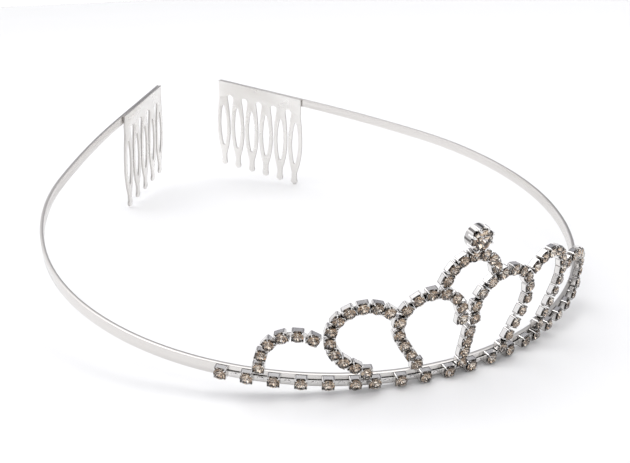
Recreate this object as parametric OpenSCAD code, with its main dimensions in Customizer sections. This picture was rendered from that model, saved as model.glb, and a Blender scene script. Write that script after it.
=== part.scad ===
/* [Band] */
// Height of the flat strip, which stands on edge
band_w = 2.4; // [2:0.1:3]
// Thickness of the strip
band_t = 0.75; // [0.5:0.05:1]
// Inner radius of the strip round the front
front_r = 59; // [54:1:64]
// Inner radius of the strip along the sides
side_r = 72; // [66:1:80]
// Turn of each side
side_turn = 27.8; // [26:0.1:30]
// Inner radius of the strip just before the combs
rear_r = 290; // [240:1:340]
// Turn of each rear stretch
rear_turn = 8.1; // [6:0.1:9.5]
// Length of the straight end that carries a comb
end_len = 32; // [31.7:0.1:34]

/* [Combs] */
// Height of the combs, from the strip's top edge to the tips
comb_h = 30.4; // [27:0.1:32]
// Thickness of the combs' sheet
comb_t = 0.6; // [0.5:0.05:0.8]
// How far the combs' teeth splay outwards, in degrees
comb_splay = 1.8; // [0.4:0.1:3]
// Teeth of the right-hand comb
right_teeth = 6; // [4:1:6]
// Spacing of its teeth
right_pitch = 5.65; // [5:0.05:5.65]
// Teeth of the left-hand comb
left_teeth = 5; // [4:1:5]
// Spacing of its teeth
left_pitch = 6.4; // [5.4:0.1:6.8]

/* [Settings] */
// Side of a square setting on the strip
base_cup = 2.2; // [2.1:0.05:2.2]
// Side of a square setting in an arch
arch_cup = 2.1; // [2:0.05:2.1]
// Depth of a small setting, from its back to its rim
cup_depth = 1.1; // [1:0.05:1.3]
// Diameter of the small stones in the arches
stone_d = 1.92; // [1.8:0.02:1.92]
// Diameter of the stones on the strip
base_stone_d = 2.04; // [1.8:0.02:2.04]
// Diameter of the large setting at the peak
top_cup_d = 4.2; // [4:0.1:4.2]
// Depth of the large setting
top_depth = 1.8; // [1.8:0.1:2.2]
// Diameter of the large stone
top_stone_d = 3.7; // [3.4:0.1:3.7]

/* [Crown] */
// Spacing of the settings along the strip
base_pitch = 4.4; // [4.4:0.1:4.6]
// Spacing of the fourth and fifth settings from the middle
base_near_pitch = 3.2; // [3.2:0.1:3.6]
// Height of their centres above the strip's bottom edge
base_h = 1.2; // [1.15:0.05:1.25]
// How far the crown leans back from the strip, in degrees
crown_lean = 1.5; // [0:0.5:4]
// Height of the stem's lowest setting
stem_low = 2.65; // [2.6:0.05:2.65]
// Height of the stem's highest setting
stem_high = 8.7; // [8.7:0.05:8.75]
// How far the stem slants to the right, in degrees
stem_slant = 6; // [0:0.5:6]
// Height of the large stone's centre
top_h = 26.8; // [26.8:0.1:28]
// Distance of the large stone's centre from the middle, negative to the left
top_x = -0.6; // [-0.8:0.1:0]

/* [Hidden] */
$fn = 48;

// Each row is one arch, from left to right, on the crown's developed face: x is
// the distance along the strip and h the height above its bottom edge. The chain
// leaves its foot on a straight leg, meets the circle at a tangent and follows
// it to the end angle. side is -1 where the leg is on the left, 1 on the right.
// Columns: settings, centre x, centre h, radius, foot x, foot h, end angle, side
ARCHES = [
    [6, -28.4, 4.9, 5.7, -34.3, 3.6, 63.2, -1],
    [11, -17.6, 10.4, 5.72, -17.0, 3.45, 54, -1],
    [12, -6.85, 12.0, 5.6, -8.6, 4.2, -3, -1],
    [7, -0.4, 18.8, 4.75, -5.15, 19.75, 20, -1],
    [14, 7.25, 12.6, 6.15, 8.8, 2.7, 193.5, 1],
    [12, 18.0, 12.8, 5.95, 18.9, 3.45, 130, 1],
    [8, 28.5, 3.7, 9.88, 38.4, 3.0, 103, 1]
];
// The arch that stands on its neighbours, all others stand on the strip
RAISED = 3;
STEM_COUNT = 4;
BASE_HALF_COUNT = 10;
BASE_NEAR_COUNT = 4;

// Clear gap between pieces that touch on the real thing
gap = 0.05;
// A first length that makes a bore or a joined piece overlap what it meets
bite = 0.2;

function rad(a) = a * PI / 180;
function deg(a) = a * 180 / PI;

// The strip's inner face in plan: points and headings where its curves meet
function arc_end(p, a0, r, turn) =
    p + r * [sin(a0 + turn) - sin(a0), cos(a0) - cos(a0 + turn)];
front_turn = 90;
rear_a = front_turn + side_turn;
end_a = rear_a + rear_turn;
left_p = arc_end([0, 0], 0, front_r, -front_turn);
side_p = arc_end([0, 0], 0, front_r, front_turn);
rear_p = arc_end(side_p, front_turn, side_r, side_turn);
end_p = arc_end(rear_p, rear_a, rear_r, rear_turn);

// The combs: heights as shares of the comb's height, widths as shares of a tooth's pitch
GAP_TOP = 0.14;
TOOTH_WIDE_AT = 0.54;
NECK_AT = 0.86;
SLOT_TOP = 0.275;
SLOT_END = 0.755;
GAP_HALF = 0.22;
TOOTH_TOP_HALF = 0.24;
TOOTH_HALF = 0.45;
NECK_HALF = 0.165;
TIP_R = 0.21;
SLOT_HALF = 0.225;
SLOT_END_R = 0.085;
// A slot's arcs run this share of its end radius into its round ends
SLOT_LAP = 0.1;
PLATE_INSET = 0.2;

// A cut stone's proportions: table width and heights as shares of its diameter
TABLE = 0.58;
CROWN_RISE = 0.18;
GIRDLE = 0.03;
PAVILION = 0.36;
CULET = 0.1;
STONE_SIDES = 12;
// The girdle sits this far outside the setting's rim
stone_rise = 0.06;
seat_off = band_t + gap;
floor_t = 0.35;

// The claws at a square setting's corners
CLAW_R = 0.15;
CLAW_INSET = 0.03;
CLAW_RISE = 0.28;
CLAW_SIDES = 6;

// The combs splay from the strip's bottom edge. A point of a comb's sheet lies at a
// depth inside it and a drop below its top edge: here as [inwards, up] from the strip
sheet_y = gap + band_w * tan(comb_splay);
function sheet_point(depth, drop) = [
    sheet_y + depth * cos(comb_splay) - drop * sin(comb_splay),
    band_w - depth * sin(comb_splay) - drop * cos(comb_splay)
];
// Where a comb starts along the straight end, its plate flush with the strip's tail
function comb_x(teeth, pitch) = end_len - (teeth - PLATE_INSET) * pitch;

// The strip leans back until the lower claws of the two middle settings and the
// tip of the right-hand comb's first tooth stand on the floor together
claw_out = cup_depth + CLAW_RISE;
claw_down = base_cup / 2 - CLAW_INSET - CLAW_R * (1 - cos(180 / CLAW_SIDES));
foot_v = -seat_off - claw_out * cos(crown_lean) - claw_down * sin(crown_lean);
foot_h = base_h + claw_out * sin(crown_lean) - claw_down * cos(crown_lean);
tip = sheet_point(comb_t, comb_h);
tip_v = end_p[1] + (comb_x(right_teeth, right_pitch) + right_pitch / 2) * sin(end_a)
    + tip[0] * cos(end_a);
tilt = atan((foot_h - tip[1]) / (tip_v - foot_v));
lift = -foot_v * sin(tilt) - foot_h * cos(tilt);

// The origin lies under the middle of the whole piece, which reaches from the
// large stone to the tip of the right-hand comb's last tooth
top_front = top_depth + stone_rise + (CROWN_RISE + GIRDLE) * top_stone_d;
crown_tilt = tilt - crown_lean;
top_y = -seat_off * cos(tilt) - base_h * sin(tilt) - (top_h - base_h) * sin(crown_tilt);
front_y = top_y - top_front * cos(crown_tilt) - top_stone_d / 2 * TABLE * sin(crown_tilt);
tip_r = TIP_R * right_pitch;
last = sheet_point(0, comb_h - tip_r);
last_x = comb_x(right_teeth, right_pitch) + (right_teeth - 0.5) * right_pitch;
last_v = end_p[1] + last_x * sin(end_a) + last[0] * cos(end_a);
fall_y = cos(comb_splay) * sin(tilt) - sin(comb_splay) * cos(end_a) * cos(tilt);
back_y = last_v * cos(tilt) - last[1] * sin(tilt)
    + tip_r * norm([sin(end_a) * cos(tilt), fall_y]);
origin_y = (front_y + back_y) / 2;

// Puts a piece drawn on the level strip where it stands at rest
module at_rest() {
    translate([0, -origin_y, lift]) rotate([tilt, 0, 0]) children();
}

// A frame on the crown's face at distance x along the strip and height h: its X
// runs along the strip, its Z up the crown, and -Y points outwards
module on_crown(x, h) {
    translate([0, front_r, 0]) rotate([0, 0, deg(x / front_r)])
        translate([0, -front_r - seat_off, base_h]) rotate([-crown_lean, 0, 0])
            translate([0, 0, h - base_h]) children();
}

// The flat strip, bent to a horseshoe

// Each stretch starts a little early, inside the one before it, and is thinner
// all round by a hair, so that no two faces lie in each other
HAIR = 0.01;

module strip_arc(p, a0, r, turn, inset) {
    early = deg(bite / r);
    translate(p + r * [-sin(a0), cos(a0)]) rotate([0, 0, a0 - 90 - early])
        rotate_extrude(angle = turn + early, $fn = 360)
            translate([r + inset, inset]) square([band_t - 2 * inset, band_w - 2 * inset]);
}

// The frame of the straight end on the right: X to the tail and Y inwards
module on_end() {
    translate(end_p) rotate([0, 0, end_a]) children();
}

module band() {
    color("#e6e5e4") at_rest() {
        strip_arc(left_p, -front_turn, front_r, 2 * front_turn, 0);
        for (m = [0, 1]) mirror([m, 0, 0]) {
            strip_arc(side_p, front_turn, side_r, side_turn, HAIR);
            strip_arc(rear_p, rear_a, rear_r, rear_turn, 2 * HAIR);
            on_end() translate([-bite, 3 * HAIR - band_t, 3 * HAIR])
                cube([end_len + bite, band_t - 6 * HAIR, band_w - 6 * HAIR]);
        }
    }
}

// The combs: one sheet each, cut through between the teeth and inside them

// Radius of an arc that falls away by drop over a run
function arc_r(drop, run) = (run * run + drop * drop) / (2 * drop);

// What lies inside two arcs that are furthest apart at height y0
module bulge(half, r, y0, y1) {
    intersection() {
        translate([r - half, y0]) circle(r, $fn = 360);
        translate([half - r, y0]) circle(r, $fn = 360);
        translate([-half, min(y0, y1)]) square([2 * half, abs(y1 - y0)]);
    }
}

module tooth(pitch) {
    wide_y = -TOOTH_WIDE_AT * comb_h;
    root_y = -GAP_TOP * comb_h;
    neck_y = -NECK_AT * comb_h;
    slot_mid = -(SLOT_TOP + SLOT_END) / 2 * comb_h;
    slot_end_r = SLOT_END_R * pitch;
    slot_run = (SLOT_END - SLOT_TOP) / 2 * comb_h - slot_end_r;
    slot_cut = slot_run + SLOT_LAP * slot_end_r;
    end_r = TIP_R * pitch;
    half = TOOTH_HALF * pitch;
    upper_r = arc_r(half - TOOTH_TOP_HALF * pitch, wide_y - root_y);
    lower_r = arc_r(half - NECK_HALF * pitch, wide_y - neck_y);
    slot_r = arc_r(SLOT_HALF * pitch - slot_end_r, slot_run);
    difference() {
        union() {
            bulge(half, upper_r, wide_y, root_y);
            bulge(half, lower_r, wide_y, neck_y);
            translate([-NECK_HALF * pitch, end_r - comb_h])
                square([2 * NECK_HALF * pitch, comb_h + neck_y]);
            translate([0, end_r - comb_h]) circle(end_r);
        }
        for (way = [-1, 1]) {
            bulge(SLOT_HALF * pitch, slot_r, slot_mid, slot_mid + way * slot_cut);
            translate([0, slot_mid + way * slot_run]) circle(slot_end_r);
        }
    }
}

module comb_sheet(teeth, pitch) {
    plate_h = GAP_TOP * comb_h + GAP_HALF * pitch;
    difference() {
        translate([PLATE_INSET * pitch, -plate_h])
            square([(teeth - 2 * PLATE_INSET) * pitch, plate_h]);
        for (i = [1:teeth - 1]) translate([i * pitch, -plate_h]) circle(GAP_HALF * pitch);
    }
    for (i = [0:teeth - 1]) translate([(i + 0.5) * pitch, 0]) tooth(pitch);
}

module comb(teeth, pitch) {
    on_end() translate([comb_x(teeth, pitch), sheet_y, band_w]) rotate([-comb_splay, 0, 0])
        translate([0, comb_t, 0]) rotate([90, 0, 0])
            linear_extrude(comb_t) comb_sheet(teeth, pitch);
}

module comb_right() {
    color("#eceae8") at_rest() comb(right_teeth, right_pitch);
}

module comb_left() {
    color("#eceae8") at_rest() mirror([1, 0, 0]) comb(left_teeth, left_pitch);
}

// Square settings: a box with a round seat and a claw at each corner

SEAT_WALL = 0.09;

module cup_body(side) {
    claw = side / 2 - CLAW_R - CLAW_INSET;
    translate([-side / 2, -cup_depth, -side / 2]) cube([side, cup_depth, side]);
    for (x = [-1, 1], z = [-1, 1])
        translate([x * claw, bite - cup_depth, z * claw]) rotate([90, 0, 0])
            cylinder(r = CLAW_R, h = bite + CLAW_RISE, $fn = CLAW_SIDES);
}

module cup_seat(side) {
    translate([0, -floor_t, 0]) rotate([90, 0, 0])
        cylinder(r = side / 2 - SEAT_WALL, h = cup_depth);
}

// A flat bar at the settings' backs that joins one setting to the next
LINK_T = 0.25;
LINK_W = 0.9;

module link(length) {
    translate([-length / 2, -LINK_T - gap, -LINK_W / 2]) cube([length, LINK_T, LINK_W]);
}

// A round stone with a table, a faceted crown and a pointed back
module cut_stone(d, rim) {
    crown_h = CROWN_RISE * d;
    translate([0, -rim - stone_rise, 0]) rotate([90, 0, 0]) {
        cylinder(d = d, h = GIRDLE * d, $fn = STONE_SIDES);
        translate([0, 0, GIRDLE * d])
            cylinder(d1 = d, d2 = TABLE * d, h = crown_h, $fn = STONE_SIDES);
        translate([0, 0, -PAVILION * d])
            cylinder(d1 = CULET * d, d2 = d, h = PAVILION * d, $fn = STONE_SIDES);
    }
}

// The row of settings along the strip

// Distance of a setting from the middle, counted from 0 on each side
function base_x(i) =
    (i + 0.5) * base_pitch + (i < BASE_NEAR_COUNT ? 0 : base_near_pitch - base_pitch);
base_xs = [
    for (i = [BASE_HALF_COUNT - 1:-1:0]) -base_x(i),
    for (i = [0:BASE_HALF_COUNT - 1]) base_x(i)
];

// The raised plate in the middle of each link
PLATE_L = 1.5;
PLATE_W = 1;
PLATE_T = 0.45;
PLATE_H = 1;

module base_chain() {
    color("#d5d2d0") at_rest() difference() {
        union() {
            for (x = base_xs) on_crown(x, base_h) cup_body(base_cup);
            for (i = [1:len(base_xs) - 1]) {
                span = base_xs[i] - base_xs[i - 1];
                mid = (base_xs[i] + base_xs[i - 1]) / 2;
                plate = min(PLATE_L, span - base_cup);
                on_crown(mid, PLATE_H) {
                    link(span - base_cup + 2 * bite);
                    translate([-plate / 2, -PLATE_T, -PLATE_W / 2])
                        cube([plate, PLATE_T, PLATE_W]);
                }
            }
        }
        for (x = base_xs) on_crown(x, base_h) cup_seat(base_cup);
    }
}

module base_stones() {
    color("#a8937f") at_rest()
        for (x = base_xs) on_crown(x, base_h) cut_stone(base_stone_d, cup_depth);
}

// The arches: chains that follow a straight leg and then a circle

function arch_middle(a) = [a[1], a[2]];
function arch_foot(a) = [a[4], a[5]];
function reach(a) = norm(arch_foot(a) - arch_middle(a));
function touch_angle(a) =
    let (d = arch_foot(a) - arch_middle(a))
    atan2(d[1], d[0]) + a[7] * acos(min(1, a[3] / reach(a)));
function leg_length(a) = sqrt(max(0, pow(reach(a), 2) - pow(a[3], 2)));
function sweep(a) = (a[7] * (a[6] - touch_angle(a)) % 360 + 360) % 360;
function chain_length(a) = leg_length(a) + a[3] * rad(sweep(a));
function chain_step(a) = chain_length(a) / (a[0] - 1);
function chain_angle(a, i) =
    touch_angle(a) + a[7] * deg(max(0, i * chain_step(a) - leg_length(a)) / a[3]);
function on_circle(a, angle) = arch_middle(a) + a[3] * [cos(angle), sin(angle)];
function chain_point(a, i) =
    let (q = i * chain_step(a), t = on_circle(a, touch_angle(a)))
    q < leg_length(a) ? arch_foot(a) + (t - arch_foot(a)) * q / leg_length(a)
                      : on_circle(a, chain_angle(a, i));

// The first setting of a leg stands square on the strip, the others turn
function cup_turn(n, i) =
    i == 0 && n != RAISED ? 0 : chain_angle(ARCHES[n], i) + 90;

module at_cup(n, i) {
    p = chain_point(ARCHES[n], i);
    on_crown(p[0], p[1]) rotate([0, -cup_turn(n, i), 0]) children();
}

// A tab behind a foot: it stands on the strip's top edge and holds the setting's back
POST_W = 0.8;
POST_TOP = arch_cup / 4;
POST_INSET = 0.1;

module post(x, h) {
    rise = max(0, h - band_w - POST_TOP);
    translate([0, front_r, 0]) rotate([0, 0, deg(x / front_r)])
        translate([-POST_W / 2, -front_r, band_w + gap]) {
            translate([0, POST_INSET - band_t, 0])
                cube([POST_W, band_t - 2 * POST_INSET, rise + POST_TOP]);
            translate([0, POST_INSET - seat_off - floor_t, rise])
                cube([POST_W, seat_off + floor_t - 2 * POST_INSET, POST_TOP]);
        }
}

module arch_chain(n) {
    a = ARCHES[n];
    color("#d5d2d0") at_rest() difference() {
        union() {
            for (i = [0:a[0] - 1]) at_cup(n, i) cup_body(arch_cup);
            for (i = [1:a[0] - 1]) {
                p = chain_point(a, i);
                q = chain_point(a, i - 1);
                on_crown((p[0] + q[0]) / 2, (p[1] + q[1]) / 2)
                    rotate([0, -atan2(p[1] - q[1], p[0] - q[0]), 0]) link(norm(p - q));
            }
            if (n != RAISED) post(a[4], a[5]);
        }
        for (i = [0:a[0] - 1]) at_cup(n, i) cup_seat(arch_cup);
    }
}

module arch_stones(n) {
    color("#a8937f") at_rest()
        for (i = [0:ARCHES[n][0] - 1]) at_cup(n, i) cut_stone(stone_d, cup_depth);
}

// The stem: a short chain in the middle, slanting from its lowest setting

function stem_h(i) = stem_low + i * (stem_high - stem_low) / (STEM_COUNT - 1);
function stem_x(i) = (stem_h(i) - stem_low) * tan(stem_slant);

module at_stem(i) {
    on_crown(stem_x(i), stem_h(i)) rotate([0, i == 0 ? 0 : stem_slant, 0]) children();
}

module stem() {
    top = STEM_COUNT - 1;
    color("#d5d2d0") at_rest() difference() {
        union() {
            for (i = [0:top]) at_stem(i) cup_body(arch_cup);
            on_crown(stem_x(top) / 2, (stem_low + stem_high) / 2)
                rotate([0, stem_slant + 90, 0]) link(stem_high - stem_low);
            post(0, stem_low);
        }
        for (i = [0:top]) at_stem(i) cup_seat(arch_cup);
    }
}

module stem_stones() {
    color("#a8937f") at_rest()
        for (i = [0:STEM_COUNT - 1]) at_stem(i) cut_stone(stone_d, cup_depth);
}

// The peak: one large round setting with its stone

TOP_CLAWS = 8;
TOP_CLAW_R = 0.22;
TOP_CLAW_OUT = 0.1;
TOP_CLAW_RISE = 0.5;
TOP_SEAT_WALL = 0.2;

module top_setting() {
    color("#d5d2d0") at_rest() on_crown(top_x, top_h) difference() {
        union() {
            rotate([90, 0, 0]) cylinder(d = top_cup_d, h = top_depth);
            for (i = [0:TOP_CLAWS - 1]) rotate([0, (i + 0.5) * 360 / TOP_CLAWS, 0])
                translate([top_cup_d / 2 + TOP_CLAW_OUT, bite - top_depth, 0]) rotate([90, 0, 0])
                    cylinder(r = TOP_CLAW_R, h = bite + TOP_CLAW_RISE, $fn = 8);
        }
        translate([0, -floor_t, 0]) rotate([90, 0, 0])
            cylinder(d = top_cup_d - 2 * TOP_SEAT_WALL, h = top_depth);
    }
}

module top_stone() {
    color("#a8937f") at_rest() on_crown(top_x, top_h) cut_stone(top_stone_d, top_depth);
}

band();
comb_left();
comb_right();
base_chain();
base_stones();
arch_chain(0);  // arch_1
arch_chain(1);  // arch_2
arch_chain(2);  // arch_3
arch_chain(3);  // arch_4
arch_chain(4);  // arch_5
arch_chain(5);  // arch_6
arch_chain(6);  // arch_7
arch_stones(0);  // arch_1_stones
arch_stones(1);  // arch_2_stones
arch_stones(2);  // arch_3_stones
arch_stones(3);  // arch_4_stones
arch_stones(4);  // arch_5_stones
arch_stones(5);  // arch_6_stones
arch_stones(6);  // arch_7_stones
stem();
stem_stones();
top_setting();
top_stone();
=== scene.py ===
# %% [markdown]
# # A rhinestone tiara, dressed over its exact parts
# The metal parts and stones come in as a fixed frame of exact solids. Each one is
# then modelled again here, in the same place and at the same size, with the
# rounded edges, claws and facets that catch the light. The real tiara is a bent
# steel strip with a stamped comb at each end and a crown of rhinestone chain.

import math

import bmesh
import bpy
from mathutils import Matrix, Vector


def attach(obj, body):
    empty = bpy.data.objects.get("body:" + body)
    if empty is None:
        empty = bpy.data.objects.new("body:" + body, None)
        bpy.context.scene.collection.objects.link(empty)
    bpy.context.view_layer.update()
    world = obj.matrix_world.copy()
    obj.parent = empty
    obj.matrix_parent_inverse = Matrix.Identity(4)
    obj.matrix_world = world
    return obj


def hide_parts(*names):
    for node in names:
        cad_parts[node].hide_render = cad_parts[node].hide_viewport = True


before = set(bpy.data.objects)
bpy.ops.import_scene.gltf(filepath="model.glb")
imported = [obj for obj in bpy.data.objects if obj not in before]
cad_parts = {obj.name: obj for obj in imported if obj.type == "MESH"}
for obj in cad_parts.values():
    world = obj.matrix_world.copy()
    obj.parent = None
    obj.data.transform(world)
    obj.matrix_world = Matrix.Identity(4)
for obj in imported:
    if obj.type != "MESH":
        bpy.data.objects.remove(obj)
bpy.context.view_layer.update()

# %% [markdown]
# ## Helpers
# An operator acts on everything that is selected, so one helper makes an object
# the only selected one. Three more pick faces, edges or points of the mesh in
# edit mode by a test on their place, which is what a maker does with the mouse.

# %% Selecting and editing
MM = 0.001


def select_only(*objects):
    bpy.ops.object.select_all(action="DESELECT")
    for thing in objects:
        thing.select_set(True)
    bpy.context.view_layer.objects.active = objects[0]


def edit(thing):
    select_only(thing)
    bpy.ops.object.mode_set(mode="EDIT")


def leave():
    bpy.ops.object.mode_set(mode="OBJECT")
    return bpy.context.object


def pick(thing, mode, test):
    bpy.ops.mesh.select_mode(type=mode)
    mesh = bmesh.from_edit_mesh(thing.data)
    bpy.ops.mesh.select_all(action="DESELECT")
    kinds = {"VERT": mesh.verts, "EDGE": mesh.edges, "FACE": mesh.faces}
    count = 0
    for part in kinds[mode]:
        if test(part):
            part.select_set(True)
            count += 1
    mesh.select_flush_mode()
    bmesh.update_edit_mesh(thing.data)
    return count


def apply_modifier(thing, kind, **settings):
    select_only(thing)
    modifier = thing.modifiers.new(kind.title(), kind)
    for name, value in settings.items():
        setattr(modifier, name, value)
    bpy.ops.object.modifier_apply(modifier=modifier.name)
    return thing


def tidy_mesh(thing):
    edit(thing)
    bpy.ops.mesh.select_all(action="SELECT")
    bpy.ops.mesh.remove_doubles(threshold=0.001 * MM)
    bpy.ops.mesh.normals_make_consistent(inside=False)
    return leave()


def faces_of(thing):
    return sum(len(face.vertices) - 2 for face in thing.data.polygons)


# %% [markdown]
# ## The places that the parts hand over
# The strip lies in a plane that leans back, because the diadem stands on the
# strip's front edge and on the tips of its combs. Two matrices carry every piece
# from where it is drawn to where it stands: `at_rest` for the whole diadem, and
# `on_crown` for a spot on the crown's face, which bends round the head.

# %% Sizes of the strip and its resting place
band_w = 2.4 * MM
band_t = 0.75 * MM
front_r = 59 * MM
side_r = 72 * MM
side_turn = math.radians(27.8)
rear_r = 290 * MM
rear_turn = math.radians(8.1)
end_len = 32 * MM
comb_h = 30.4 * MM
comb_t = 0.6 * MM
comb_splay = math.radians(1.8)
right_teeth = 6
right_pitch = 5.65 * MM
left_teeth = 5
left_pitch = 6.4 * MM
PLATE_INSET = 0.2
TIP_R = 0.21
gap = 0.05 * MM
seat_off = band_t + gap

# %% Sizes of the settings and their stones
base_cup = 2.2 * MM
arch_cup = 2.1 * MM
cup_depth = 1.1 * MM
FLOOR = 0.35 * MM
# Stones fill their settings here; the frame's are 0.08 mm smaller, to stay apart
stone_d = 2.0 * MM
base_stone_d = 2.12 * MM
top_cup_d = 4.2 * MM
top_depth = 1.8 * MM
top_stone_d = 3.7 * MM
stone_rise = 0.06 * MM
TABLE = 0.58
CROWN_RISE = 0.16
GIRDLE = 0.05
CLAW_R = 0.15 * MM
CLAW_INSET = 0.03 * MM
CLAW_RISE = 0.28 * MM
CLAW_SIDES = 6
base_h = 1.2 * MM
crown_lean = math.radians(1.5)
top_x = -0.6 * MM
top_h = 26.8 * MM


# %% Where the strip's curves meet, and the sheet of a comb
def arc_end(start, heading, radius, turn):
    last = heading + turn
    across = (math.sin(last) - math.sin(heading), math.cos(heading) - math.cos(last), 0)
    return start + radius * Vector(across)


side_p = arc_end(Vector((0, 0, 0)), 0, front_r, math.pi / 2)
rear_p = arc_end(side_p, math.pi / 2, side_r, side_turn)
rear_a = math.pi / 2 + side_turn
end_a = rear_a + rear_turn
end_p = arc_end(rear_p, rear_a, rear_r, rear_turn)
sheet_y = gap + band_w * math.tan(comb_splay)


def sheet_point(depth, drop):
    """A point of a comb's sheet, as inwards and up from the strip."""
    return (
        sheet_y + depth * math.cos(comb_splay) - drop * math.sin(comb_splay),
        band_w - depth * math.sin(comb_splay) - drop * math.cos(comb_splay),
    )


def comb_x(teeth, pitch):
    return end_len - (teeth - PLATE_INSET) * pitch


# %% The resting place, with the origin under the middle of the whole piece
claw_out = cup_depth + CLAW_RISE
claw_down = base_cup / 2 - CLAW_INSET - CLAW_R * (1 - math.cos(math.pi / CLAW_SIDES))
foot_v = -seat_off - claw_out * math.cos(crown_lean) - claw_down * math.sin(crown_lean)
foot_h = base_h + claw_out * math.sin(crown_lean) - claw_down * math.cos(crown_lean)
tip_in, tip_h = sheet_point(comb_t, comb_h)
tip_x = comb_x(right_teeth, right_pitch) + right_pitch / 2
tip_v = end_p.y + tip_x * math.sin(end_a) + tip_in * math.cos(end_a)
tilt = math.atan((foot_h - tip_h) / (tip_v - foot_v))
lift = -foot_v * math.sin(tilt) - foot_h * math.cos(tilt)

top_front = top_depth + stone_rise + (CROWN_RISE + GIRDLE) * top_stone_d
crown_tilt = tilt - crown_lean
front_y = (
    -seat_off * math.cos(tilt)
    - base_h * math.sin(tilt)
    - (top_h - base_h) * math.sin(crown_tilt)
    - top_front * math.cos(crown_tilt)
    - top_stone_d / 2 * TABLE * math.sin(crown_tilt)
)
tip_r = TIP_R * right_pitch
last_in, last_h = sheet_point(0, comb_h - tip_r)
last_x = comb_x(right_teeth, right_pitch) + (right_teeth - 0.5) * right_pitch
last_v = end_p.y + last_x * math.sin(end_a) + last_in * math.cos(end_a)
fall_y = math.cos(comb_splay) * math.sin(tilt)
fall_y -= math.sin(comb_splay) * math.cos(end_a) * math.cos(tilt)
tip_slope = math.hypot(math.sin(end_a) * math.cos(tilt), fall_y)
back_y = last_v * math.cos(tilt) - last_h * math.sin(tilt) + tip_r * tip_slope
origin_y = (front_y + back_y) / 2
at_rest = Matrix.Translation((0, -origin_y, lift)) @ Matrix.Rotation(tilt, 4, "X")


def on_crown(x, h):
    return (
        at_rest
        @ Matrix.Translation((0, front_r, 0))
        @ Matrix.Rotation(x / front_r, 4, "Z")
        @ Matrix.Translation((0, -front_r - seat_off, base_h))
        @ Matrix.Rotation(-crown_lean, 4, "X")
        @ Matrix.Translation((0, 0, h - base_h))
    )


print("tilt", round(math.degrees(tilt), 3), "degrees")
print("origin", round(origin_y / MM, 3), "mm, lift", round(lift / MM, 3), "mm")

# %% [markdown]
# ## Materials
# The strip and the combs are plated steel, and the settings are plated brass.
# Plated metal is nearly a mirror, so its look comes from what it reflects and from
# very small unevenness in its surface. One flat grey would look like plastic. The
# stones are clear cut glass with a foil behind them, and the foil is what gives
# them their champagne colour.

# %% Colours and nodes
def linear(hex_colour):
    parts = [int(hex_colour[i : i + 2], 16) / 255 for i in (1, 3, 5)]
    rgb = [p / 12.92 if p <= 0.04045 else ((p + 0.055) / 1.055) ** 2.4 for p in parts]
    return (*rgb, 1.0)


def add_node(tree, kind, settings=None, links=None, stops=()):
    """Sockets go by name, or by number where names repeat; stops are a ramp's colours."""
    node = tree.nodes.new(kind)
    for name, value in (settings or {}).items():
        if isinstance(name, int) or name in node.inputs:
            node.inputs[name].default_value = value
        else:
            setattr(node, name, value)
    for name, source in (links or {}).items():
        tree.links.new(source, node.inputs[name])
    if stops:
        ramp = node.color_ramp.elements
        for end, (position, colour) in zip((ramp[0], ramp[1]), (stops[0], stops[-1])):
            end.position, end.color = position, linear(colour)
        for position, colour in stops[1:-1]:
            ramp.new(position).color = linear(colour)
    return node


def new_material(name):
    material = bpy.data.materials.new(name)
    material.use_nodes = True
    material.node_tree.nodes.clear()
    print("material:", name)
    return material, material.node_tree


# %% Nickel-plated spring steel: rolled, so faint lines run along the strip
rolled_steel, tree = new_material("nickel_plated_rolled_steel")
place = add_node(tree, "ShaderNodeTexCoord")
# The strip's plane is turned level again, so that the lines keep to its height
along = add_node(
    tree, "ShaderNodeMapping", {"Rotation": (-tilt, 0, 0)}, {"Vector": place.outputs["Object"]}
)
# Real rolling lines are 0.05 mm apart; drawn 5 to the mm, or they wouldn't show
across, lengthwise = 5 / MM, 0.012 / MM
lines = add_node(
    tree,
    "ShaderNodeMapping",
    {"Scale": (lengthwise, lengthwise, across)},
    {"Vector": along.outputs["Vector"]},
)
streaks = add_node(
    tree,
    "ShaderNodeTexNoise",
    {"Scale": 1.0, "Detail": 2.0, "Roughness": 0.6},
    {"Vector": lines.outputs["Vector"]},
)
# Fingers leave smudges about 11 mm across, so 0.09 to the mm
smudges = add_node(
    tree,
    "ShaderNodeTexNoise",
    {"Scale": 0.09 / MM, "Detail": 3.0},
    {"Vector": place.outputs["Object"]},
)
polish = add_node(
    tree,
    "ShaderNodeMapRange",
    {"From Min": 0.3, "From Max": 0.7, "To Min": 0.16, "To Max": 0.24},
    {"Value": smudges.outputs["Fac"]},
)
relief = add_node(
    tree,
    "ShaderNodeBump",
    {"Strength": 0.12, "Distance": 0.02 * MM},
    {"Height": streaks.outputs["Fac"]},
)
metal = add_node(
    tree,
    "ShaderNodeBsdfPrincipled",
    {"Base Color": linear("#DCD9D6"), "Metallic": 1.0},
    {"Roughness": polish.outputs["Result"], "Normal": relief.outputs["Normal"]},
)
add_node(tree, "ShaderNodeOutputMaterial", {}, {"Surface": metal.outputs["BSDF"]})

# %% Satin stamped sheet: the combs, tumbled after stamping, with a fine grain
satin_sheet, tree = new_material("satin_nickel_stamped_sheet")
place = add_node(tree, "ShaderNodeTexCoord")
# Tumbling grit leaves a grain of 0.05 mm; drawn at 0.4 mm, or it wouldn't show
grain = add_node(
    tree,
    "ShaderNodeTexNoise",
    {"Scale": 2.5 / MM, "Detail": 2.0},
    {"Vector": place.outputs["Object"]},
)
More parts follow.
